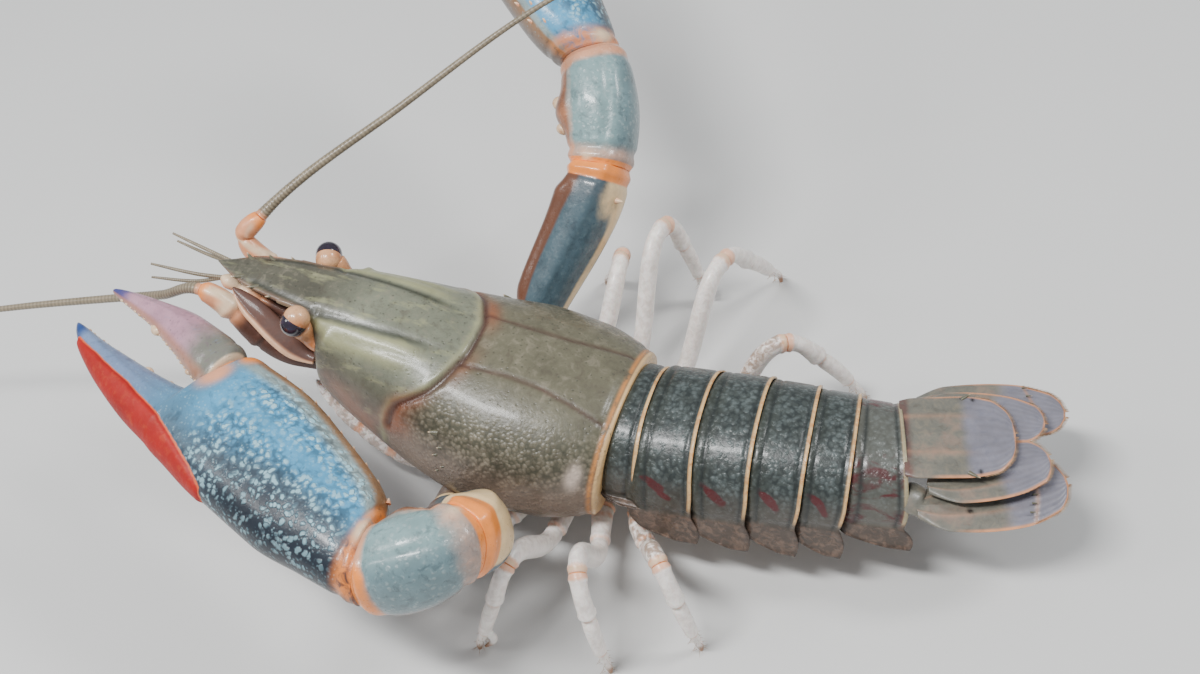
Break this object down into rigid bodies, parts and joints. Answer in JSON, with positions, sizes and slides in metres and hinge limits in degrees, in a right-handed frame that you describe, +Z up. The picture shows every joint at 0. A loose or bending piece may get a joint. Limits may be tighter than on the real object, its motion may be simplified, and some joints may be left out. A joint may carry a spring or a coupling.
{
  "type": "redclaw crayfish model",
  "caption": "Still life-size model of a redclaw crayfish, standing with one claw reaching forward and one out to the side.",
  "frame": {"origin": "on the floor under the middle of the whole animal's box", "axes": "+X towards the tail, +Y towards the animal's right side, +Z up"},
  "size_m": [0.3252, 0.2272, 0.1067],
  "materials": {
    "shell": "wet glossy shell",
    "tail": "wet glossy shell",
    "fan": "wet thin shell",
    "claw": "wet glossy shell",
    "arm": "wet glossy shell",
    "leg": "wet glossy shell",
    "feeler": "satin",
    "eye": "polished",
    "belly": "satin"
  },
  "bodies": {
    "root": {"antenna_base_L": "feeler", "antenna_base_R": "feeler", "antenna_flagellum_L": "feeler", "antenna_flagellum_R": "feeler", "antenna_scale_L": "feeler", "antenna_scale_R": "feeler", "antennule_L": "feeler", "antennule_R": "feeler", "carapace": "shell", "cheliped_carpus_L": "arm", "cheliped_carpus_R": "arm", "cheliped_dactyl_L": "claw", "cheliped_dactyl_R": "claw", "cheliped_ischium_L": "arm", "cheliped_ischium_R": "arm", "cheliped_merus_L": "arm", "cheliped_merus_R": "arm", "cheliped_propodus_L": "claw", "cheliped_propodus_R": "claw", "eye_L": "eye", "eye_R": "eye", "eyestalk_L": "belly", "eyestalk_R": "belly", "leg_2_lower_L": "leg", "leg_2_lower_R": "leg", "leg_2_upper_L": "leg", "leg_2_upper_R": "leg", "leg_3_lower_L": "leg", "leg_3_lower_R": "leg", "leg_3_upper_L": "leg", "leg_3_upper_R": "leg", "leg_4_lower_L": "leg", "leg_4_lower_R": "leg", "leg_4_upper_L": "leg", "leg_4_upper_R": "leg", "leg_5_lower_L": "leg", "leg_5_lower_R": "leg", "leg_5_upper_L": "leg", "leg_5_upper_R": "leg", "maxilliped_L": "belly", "maxilliped_R": "belly", "pleomere_1": "tail", "pleomere_2": "tail", "pleomere_3": "tail", "pleomere_4": "tail", "pleomere_5": "tail", "pleomere_6": "tail", "sternum": "belly", "telson": "fan", "uropod_inner_L": "fan", "uropod_inner_R": "fan", "uropod_outer_L": "fan", "uropod_outer_R": "fan"}
  },
  "joints": []
}
